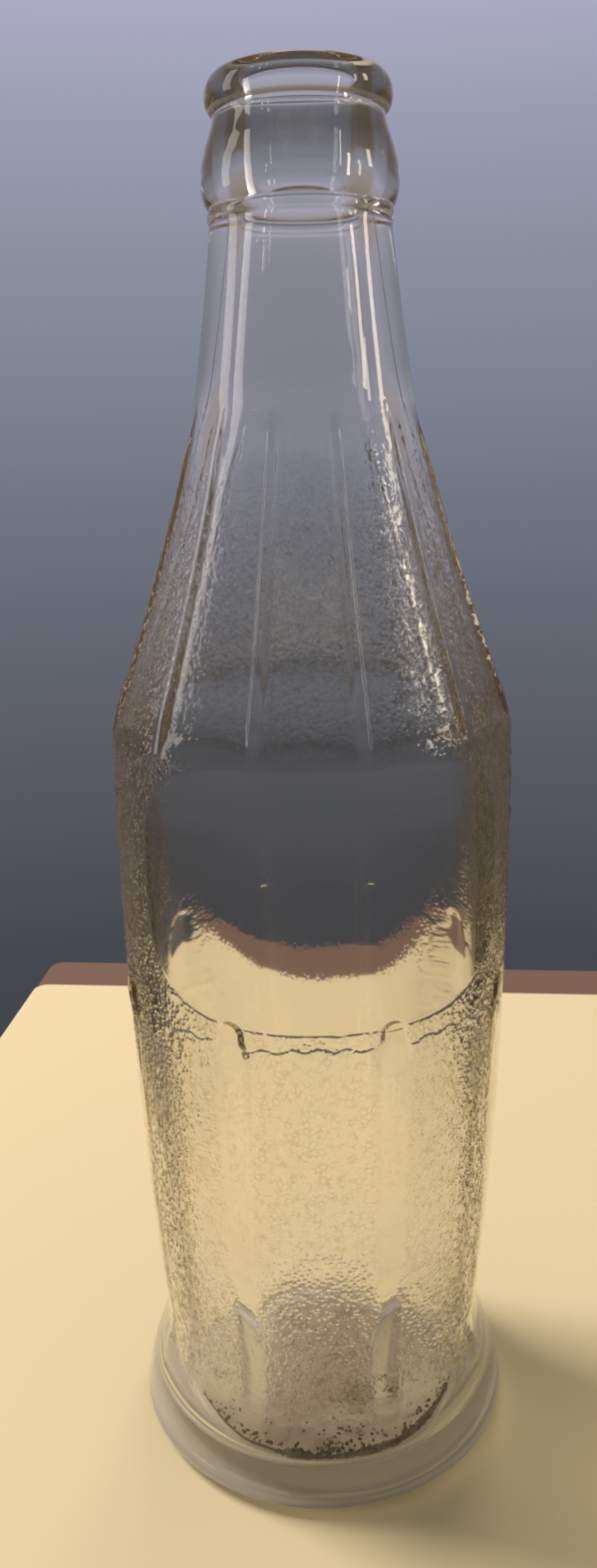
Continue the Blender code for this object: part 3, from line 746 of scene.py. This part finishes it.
def stain_mesh():
    turns = np.arange(STAIN_COLUMNS) * 2 * math.pi / STAIN_COLUMNS
    front = np.clip(np.cos(turns), 0.0, 1.0) ** 0.7
    reach = mix(STAIN_BACK_REACH, STAIN_FRONT_REACH, front)
    wander = [noise.noise(Vector((2.2 * math.sin(turn), 2.2 * math.cos(turn), 5.0))) for turn in turns]
    reach = reach + STAIN_WANDER * np.array(wander)
    points = []
    for side in (1, 0):
        for ring in range(1, STAIN_RINGS + 1):
            share = ring / STAIN_RINGS
            for column, turn in enumerate(turns):
                along = share * reach[column] - FLOOR_FLAT_RADIUS
                radius, level, inward, upward = (float(value) for value in heel_place(along))
                place = Vector((radius * math.sin(turn), -radius * math.cos(turn), 0.0))
                big, small = (noise.noise(place / size) for size in STAIN_LUMP_SIZES)
                lumps = max(0.0, big + 0.5 * small)
                rim_share = min(1.0, STAIN_RIM_THINS * (1.0 - share))
                thickness = (STAIN_THIN + STAIN_LUMPS * lumps) * rim_share
                lift = STAIN_GAP + side * thickness
                radius += lift * inward
                points.append((radius * math.sin(turn), -radius * math.cos(turn), level + lift * upward))
    top = FLOOR_EDGE_LEVEL + FLOOR_DOME + STAIN_GAP
    points += [(0.0, 0.0, top + STAIN_THIN), (0.0, 0.0, top)]
    faces = []
    sheet = STAIN_RINGS * STAIN_COLUMNS
    for column in range(STAIN_COLUMNS):
        after = (column + 1) % STAIN_COLUMNS
        faces.append((2 * sheet, column, after))
        faces.append((2 * sheet + 1, sheet + after, sheet + column))
        for ring in range(STAIN_RINGS - 1):
            low = ring * STAIN_COLUMNS
            high = low + STAIN_COLUMNS
            corners = (low + column, high + column, high + after, low + after)
            faces.append(corners)
            a, b, c, d = (sheet + corner for corner in corners)
            faces.append((a, d, c, b))
        rim = (STAIN_RINGS - 1) * STAIN_COLUMNS
        faces.append((rim + column, sheet + rim + column, sheet + rim + after, rim + after))
    return linked("dried_stain", points, faces)


FILM_DEEP = (0.44, 0.32, 0.235)
FILM_PALE = (0.66, 0.52, 0.40)
FILM_THIN = (0.90, 0.76, 0.52, 1.0)
SPECK_BROWN = (0.045, 0.028, 0.018, 1.0)
DEEPEST_PLACE = (0.003, -0.004, 0.004)


def dried_film():
    """Matt brown in two shades, with dark specks that crowd together in the middle and along the front."""
    material, tree, film = blank_finish("dried_film")
    nodes = tree.nodes
    film.inputs["Roughness"].default_value = 0.75
    place = nodes.new("ShaderNodeTexCoord").outputs["Object"]
    blotches = pattern(tree, "ShaderNodeTexNoise", place, 260.0, 5.0).outputs["Fac"]
    specks = pattern(tree, "ShaderNodeTexNoise", place, 1150.0, 3.0).outputs["Fac"]
    crowd = pattern(tree, "ShaderNodeTexNoise", place, 150.0).outputs["Fac"]
    gap = nodes.new("ShaderNodeVectorMath")
    gap.operation = "DISTANCE"
    gap.inputs[1].default_value = DEEPEST_PLACE
    tree.links.new(place, gap.inputs[0])
    nearness = eased(tree, gap.outputs["Value"], 0.004, 0.012, (0.14, 0.02), "LINEAR")
    deeper = worked_out(tree, "SUBTRACT", blotches, nearness)
    brown = shades(tree, deeper, (0.30, FILM_DEEP), (0.60, FILM_PALE))
    together = worked_out(tree, "ADD", crowd, nearness)
    dark = eased(tree, worked_out(tree, "ADD", together, specks), 1.22, 1.34, curve="LINEAR")

    # It is thinner to both sides, where the sheet below shows through.
    sides = nodes.new("ShaderNodeSeparateXYZ")
    tree.links.new(place, sides.inputs["Vector"])
    aside = worked_out(tree, "ABSOLUTE", sides.outputs["X"])
    thinning = eased(tree, aside, 0.0095, 0.0130)
    backward = eased(tree, sides.outputs["Y"], -0.0150, -0.0060, (0.25, 0.85), "LINEAR")
    thinned = worked_out(tree, "MULTIPLY", thinning, backward)
    paler = tinted(tree, thinned, brown, FILM_THIN)
    tree.links.new(tinted(tree, dark, paler, SPECK_BROWN), film.inputs["Base Color"])
    tree.links.new(embossed(tree, specks, 0.0002, 0.7), film.inputs["Normal"])
    return material


stain = stain_mesh()
stain.data.materials.append(dried_film())
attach(stain, "root")
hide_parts("floor_film")
# Light goes through a film as thin as this, so it casts no shadow on the foot and the sheet.
stain.visible_shadow = False


# The crust: a dark ridge of the same deposit, dried hard in the curve between floor and wall where the
# bottle's lowest side was, thick to the right of the front, with one lump, and with crumbs broken off it.
CRUST_START = -68.0
CRUST_END = 80.0
CRUST_LUMP = -11.0
CRUST_STEPS = 420
CRUST_ACROSS = 12
CRUST_GAP = 0.06
CRUST_RISE = 1.15
CRUST_SHARE_LEFT = 0.24
CRUST_SHARE_GAIN = 0.40
CRUST_GAIN_TURNS = (-6.0, 24.0)
CRUST_LUMP_SHARE = 0.75
CRUST_LUMP_SPREAD = 5.0
CRUST_THINNEST = 0.12
CRUST_MIDDLE = 1.0
CRUST_INWARD = 1.3
CRUST_UPWARD = 2.2
CRUMBS = 190
CRUMB_SIZES = (0.09, 0.34)
CRUMB_HIGHEST = 1.2
CRUMB_LOWEST = -7.0
CRUMB_SPREAD = 2.2
CRUMB_NEAR = -1.5
CRUMB_LIFT = 0.35


def crust_share(turn):
    """How thick the crust is here, from 0 to 1."""
    along = (turn - CRUST_START) / (CRUST_END - CRUST_START)
    ends = math.sin(math.pi * min(max(along, 0.0), 1.0)) ** 0.5
    plain = CRUST_SHARE_LEFT + CRUST_SHARE_GAIN * float(soft_step(*CRUST_GAIN_TURNS, turn))
    lump = CRUST_LUMP_SHARE * math.exp(-(((turn - CRUST_LUMP) / CRUST_LUMP_SPREAD) ** 2))
    return ends * min(1.0, plain + lump)


def crust_mesh():
    points = []
    for step in range(CRUST_STEPS + 1):
        turn = mix(CRUST_START, CRUST_END, step / CRUST_STEPS)
        angle = math.radians(turn)
        share = crust_share(turn)
        coarse = noise.noise(Vector((turn / 2.1, 3.0, 0.0)))
        fine = noise.noise(Vector((turn / 0.7, 9.0, 0.0)))
        width = max(CRUST_THINNEST, share * (1.0 + 0.6 * (coarse + 0.6 * fine)))
        low = CRUST_MIDDLE - CRUST_INWARD * width
        high = CRUST_MIDDLE + CRUST_UPWARD * width
        for side in (1, 0):
            for number in range(CRUST_ACROSS + 1):
                across = number / CRUST_ACROSS
                here = heel_place(mix(low, high, across))
                radius, level, inward, upward = (float(value) for value in here)
                place = Vector((radius * math.sin(angle), -radius * math.cos(angle), level))
                grit = 0.75 + 0.9 * noise.noise(place / 0.8) + 0.5 * noise.noise(place / 0.35)
                bulge = math.sin(math.pi * across) ** 0.7
                lift = CRUST_GAP + side * CRUST_RISE * width * max(grit, 0.1) * bulge
                radius += lift * inward
                points.append((radius * math.sin(angle), -radius * math.cos(angle), level + lift * upward))
    faces = []
    row = 2 * (CRUST_ACROSS + 1)
    loop = list(range(CRUST_ACROSS + 1)) + list(range(row - 1, CRUST_ACROSS, -1))
    for step in range(CRUST_STEPS):
        for number in range(row):
            a = step * row + loop[number]
            b = step * row + loop[(number + 1) % row]
            faces.append((a, b, b + row, a + row))
    faces.append(tuple(loop[::-1]))
    faces.append(tuple(CRUST_STEPS * row + number for number in loop))
    return points, faces


def add_crumbs(points, faces):
    """Broken bits beside the crust: small angular lumps that lie on the floor and the heel."""
    draws = np.random.default_rng(41)
    crumb = bmesh.new()
    bmesh.ops.create_icosphere(crumb, subdivisions=1, radius=1.0)
    crumb.verts.ensure_lookup_table()
    corners = [vertex.co.copy() for vertex in crumb.verts]
    sides = [tuple(vertex.index for vertex in face.verts) for face in crumb.faces]
    crumb.free()
    for number in range(CRUMBS):
        turn = draws.uniform(CRUST_START + 8.0, CRUST_END - 4.0)
        along = CRUMB_HIGHEST - draws.exponential(CRUMB_SPREAD)
        size = draws.uniform(*CRUMB_SIZES) * (1.25 if along > CRUMB_NEAR else 0.8)
        radius, level, inward, upward = (float(value) for value in heel_place(max(along, CRUMB_LOWEST)))
        lift = CRUMB_LIFT + 0.7 * size
        radius += lift * inward
        level += lift * upward
        angle = math.radians(turn)
        middle = Vector((radius * math.sin(angle), -radius * math.cos(angle), level))
        first_point = len(points)
        for corner in corners:
            ragged = 1.0 + 0.45 * noise.noise(corner * 1.7 + Vector((number * 3.1, 0.0, 0.0)))
            points.append(tuple(middle + corner * size * ragged))
        faces += [tuple(first_point + index for index in side) for side in sides]
    return points, faces


BURNT_BLACK = (0.020, 0.012, 0.008)
BURNT_BROWN = (0.20, 0.125, 0.075)


def dark_crust():
    """Burnt brown to nearly black, rough and grainy."""
    material, tree, grit = blank_finish("dark_crust")
    grit.inputs["Roughness"].default_value = 0.85
    place = tree.nodes.new("ShaderNodeTexCoord").outputs["Object"]
    grains = pattern(tree, "ShaderNodeTexNoise", place, 900.0, 6.0).outputs["Fac"]
    burnt = shades(tree, grains, (0.40, BURNT_BLACK), (0.72, BURNT_BROWN))
    tree.links.new(burnt, grit.inputs["Base Color"])
    tree.links.new(embossed(tree, grains, 0.0003, 1.0), grit.inputs["Normal"])
    return material


crust = linked("crumbly_crust", *add_crumbs(*crust_mesh()))
crust.data.materials.append(dark_crust())
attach(crust, "root")
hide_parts("heel_crust")
crust.visible_shadow = False


# The sheet that the bottle stands on: a pad of pale cream paper, bound along its far edge with brown tape.
# Nothing is printed on it. It ends a hand's width behind the bottle, and the glass shows the dusk beyond it.
PAD_TURN = -5.6
PAD_LEFT = -0.105
PAD_RIGHT = 0.113
PAD_NEAR = -0.125
PAD_FAR = 0.166
PAD_THICKNESS = 0.006
PAD_CORNER = 0.004
PAD_DROP = 0.00005
TAPE_WIDTH = 0.019
TAPE_OVERLAP = 0.002
TAPE_DROP = 0.0006
CREAM = (0.86, 0.69, 0.40)
TAPE_BROWN = (0.21, 0.125, 0.092)


def slab(name, left, right, near, far, top_level, thickness, corner):
    """A flat slab with rounded corners, turned as the pad lies."""
    middles = (
        (right - corner, far - corner),
        (left + corner, far - corner),
        (left + corner, near + corner),
        (right - corner, near + corner),
    )
    outline = []
    for number, (x, y) in enumerate(middles):
        for step in range(7):
            angle = math.radians(90 * number + 15 * step)
            outline.append((x + corner * math.cos(angle), y + corner * math.sin(angle)))
    count = len(outline)
    points = [(x, y, top_level) for x, y in outline]
    points += [(x, y, top_level - thickness) for x, y in outline]
    sides = [(i, i + count, (i + 1) % count + count, (i + 1) % count) for i in range(count)]
    top = tuple(range(count))
    underside = tuple(range(2 * count - 1, count - 1, -1))
    mesh = bpy.data.meshes.new(name)
    mesh.from_pydata(points, [], [top, underside, *sides])
    mesh.transform(Matrix.Rotation(math.radians(PAD_TURN), 4, "Z"))
    thing = bpy.data.objects.new(name, mesh)
    bpy.context.scene.collection.objects.link(thing)
    return thing


def plain_paper(name, colour):
    material, _, paper = blank_finish(name)
    paper.inputs["Base Color"].default_value = (*colour, 1.0)
    paper.inputs["Roughness"].default_value = 0.9
    paper.inputs["Specular IOR Level"].default_value = 0.2
    return material


pad = slab("pad", PAD_LEFT, PAD_RIGHT, PAD_NEAR, PAD_FAR, -PAD_DROP, PAD_THICKNESS, PAD_CORNER)
pad.data.materials.append(plain_paper("cream_paper", CREAM))
tape_near = PAD_FAR - TAPE_OVERLAP
tape_far = PAD_FAR + TAPE_WIDTH
tape = slab("tape", PAD_LEFT, PAD_RIGHT, tape_near, tape_far, -TAPE_DROP, PAD_THICKNESS, PAD_CORNER)
tape.data.materials.append(plain_paper("brown_tape", TAPE_BROWN))


# The light: soft daylight from behind the bottle, most of it from the left, and an even glow from all round.
# The glass also mirrors a tall window at the left and two narrow warm lights at the right, which don't light
# the pad.
LIT_LEVEL = 0.10


def lamp(name, place, size, power, colour, in_glass):
    """A soft lamp that faces the middle of the bottle. It shows in the glass, or else it lights the pad."""
    light = bpy.data.lights.new(name, "AREA")
    light.shape = "RECTANGLE"
    light.size = size[0]
    light.size_y = size[1]
    light.energy = power
    light.color = colour
    thing = bpy.data.objects.new(name, light)
    aim = Vector((0.0, 0.0, LIT_LEVEL)) - Vector(place)
    thing.matrix_world = Matrix.Translation(place) @ aim.to_track_quat("-Z", "Y").to_matrix().to_4x4()
    thing.visible_camera = False
    thing.visible_glossy = in_glass
    thing.visible_transmission = in_glass
    thing.visible_diffuse = not in_glass
    bpy.context.scene.collection.objects.link(thing)


lamp("daylight", (-1.72, 0.95, 1.65), (1.0, 1.0), 70.0, (1.0, 0.98, 0.97), in_glass=False)
lamp("far_window", (0.45, 2.1, 1.25), (0.9, 0.7), 14.0, (1.0, 0.97, 0.94), in_glass=False)
lamp("window", (-1.0, 0.06, 0.45), (0.24, 0.9), 1.9, (1.0, 0.92, 0.89), in_glass=True)
lamp("warm_window", (0.85, -0.31, 0.29), (0.05, 0.34), 0.42, (1.0, 0.90, 0.76), in_glass=True)
lamp("warm_lamp", (0.90, -0.06, 0.43), (0.09, 0.26), 0.62, (1.0, 0.88, 0.68), in_glass=True)

# The wall behind the bottle, at dusk: its colour at each elevation in degrees.
SKY_STOPS = (
    (-90.0, (0.030, 0.031, 0.036)),
    (-35.0, (0.045, 0.047, 0.057)),
    (-22.6, (0.061, 0.065, 0.080)),
    (-18.2, (0.080, 0.086, 0.105)),
    (-12.6, (0.105, 0.112, 0.138)),
    (-7.1, (0.133, 0.144, 0.181)),
    (-1.7, (0.174, 0.184, 0.236)),
    (3.4, (0.216, 0.238, 0.301)),
    (8.2, (0.270, 0.279, 0.361)),
    (12.7, (0.323, 0.337, 0.434)),
    (16.9, (0.407, 0.407, 0.546)),
    (28.0, (0.36, 0.35, 0.40)),
    (50.0, (0.20, 0.19, 0.18)),
    (90.0, (0.15, 0.14, 0.13)),
)
ROOM_TINT = (0.68, 0.55, 0.34, 1.0)
GLOW_COLOUR = (0.96, 0.98, 1.0, 1.0)
GLOW_STRENGTH = 0.22

world = bpy.data.worlds.new("dusk")
bpy.context.scene.world = world
world.use_nodes = True
room = world.node_tree
room.nodes.clear()
direction = room.nodes.new("ShaderNodeTexCoord")
parts = room.nodes.new("ShaderNodeSeparateXYZ")
room.links.new(direction.outputs["Generated"], parts.inputs["Vector"])
upness = parts.outputs["Z"]
wall = room.nodes.new("ShaderNodeValToRGB")
room.links.new(worked_out(room, "MULTIPLY_ADD", upness, 0.5, 0.5), wall.inputs["Fac"])
elements = wall.color_ramp.elements
while len(elements) > 1:
    elements.remove(elements[-1])
for number, (elevation, colour) in enumerate(SKY_STOPS):
    position = 0.5 + 0.5 * math.sin(math.radians(elevation))
    stop = elements[0] if number == 0 else elements.new(position)
    stop.position = position
    stop.color = (*colour, 1.0)

# The wall is lit only behind the bottle. To its sides and in front the room is browner, low down and high up.
# The camera doesn't see that: only the glass bends it into view.
level_way = room.nodes.new("ShaderNodeCombineXYZ")
room.links.new(parts.outputs["X"], level_way.inputs["X"])
room.links.new(parts.outputs["Y"], level_way.inputs["Y"])
unit_way = room.nodes.new("ShaderNodeVectorMath")
unit_way.operation = "NORMALIZE"
room.links.new(level_way.outputs["Vector"], unit_way.inputs[0])
heading = room.nodes.new("ShaderNodeSeparateXYZ")
room.links.new(unit_way.outputs["Vector"], heading.inputs["Vector"])
to_the_side = eased(room, heading.outputs["Y"], 0.93, 0.79)
low_down = eased(room, upness, -0.01, 0.09, (1.0, 0.12))
high_up = eased(room, upness, 0.19, 0.27, (0.0, 0.6))
low_or_high = worked_out(room, "MAXIMUM", low_down, high_up)
brownness = worked_out(room, "MULTIPLY", to_the_side, low_or_high)
path = room.nodes.new("ShaderNodeLightPath")
not_seen = worked_out(room, "SUBTRACT", 1.0, path.outputs["Is Camera Ray"])
room_share = worked_out(room, "MULTIPLY", brownness, not_seen)
backdrop = room.nodes.new("ShaderNodeBackground")
dimmed = tinted(room, room_share, wall.outputs["Color"], ROOM_TINT, "MULTIPLY")
room.links.new(dimmed, backdrop.inputs["Color"])
glow = room.nodes.new("ShaderNodeBackground")
glow.inputs["Color"].default_value = GLOW_COLOUR
glow.inputs["Strength"].default_value = GLOW_STRENGTH

# The camera, mirrors and glass show the room. Everything else gets the even glow.
seen = worked_out(room, "MAXIMUM", path.outputs["Is Camera Ray"], path.outputs["Is Glossy Ray"])
shown = worked_out(room, "MAXIMUM", seen, path.outputs["Is Transmission Ray"])
world_output = room.nodes.new("ShaderNodeOutputWorld")
surroundings = laid_over(room, shown, glow.outputs["Background"], backdrop.outputs["Background"])
room.links.new(surroundings, world_output.inputs["Surface"])


# The camera: a little above the shoulder and an arm's length in front, as a hand holds a phone. It looks down
# on the bottle and is rolled by a degree or so.
CAMERA_PLACE = Vector((-0.0022, -0.1919, 0.1669))
CAMERA_PITCH = 15.47
CAMERA_ROLL = 1.33
CAMERA_LENS = 28.24
camera = bpy.data.cameras.new("camera")
camera.lens = CAMERA_LENS
camera.clip_start = 0.01
camera_object = bpy.data.objects.new("camera", camera)
tilt = Matrix.Rotation(math.radians(90 - CAMERA_PITCH), 4, "X")
roll = Matrix.Rotation(-math.radians(CAMERA_ROLL), 4, "Z")
camera_object.matrix_world = Matrix.Translation(CAMERA_PLACE) @ tilt @ roll
bpy.context.scene.collection.objects.link(camera_object)
bpy.context.scene.camera = camera_object

bpy.context.scene.view_settings.view_transform = "Standard"

# A ray crosses both walls of the glass, and is often turned back inside them, before it leaves.
GLASS_BOUNCES = 24
bpy.context.scene.cycles.max_bounces = GLASS_BOUNCES
bpy.context.scene.cycles.glossy_bounces = GLASS_BOUNCES
bpy.context.scene.cycles.transmission_bounces = GLASS_BOUNCES
bpy.context.scene.cycles.transparent_max_bounces = GLASS_BOUNCES

bpy.context.view_layer.update()
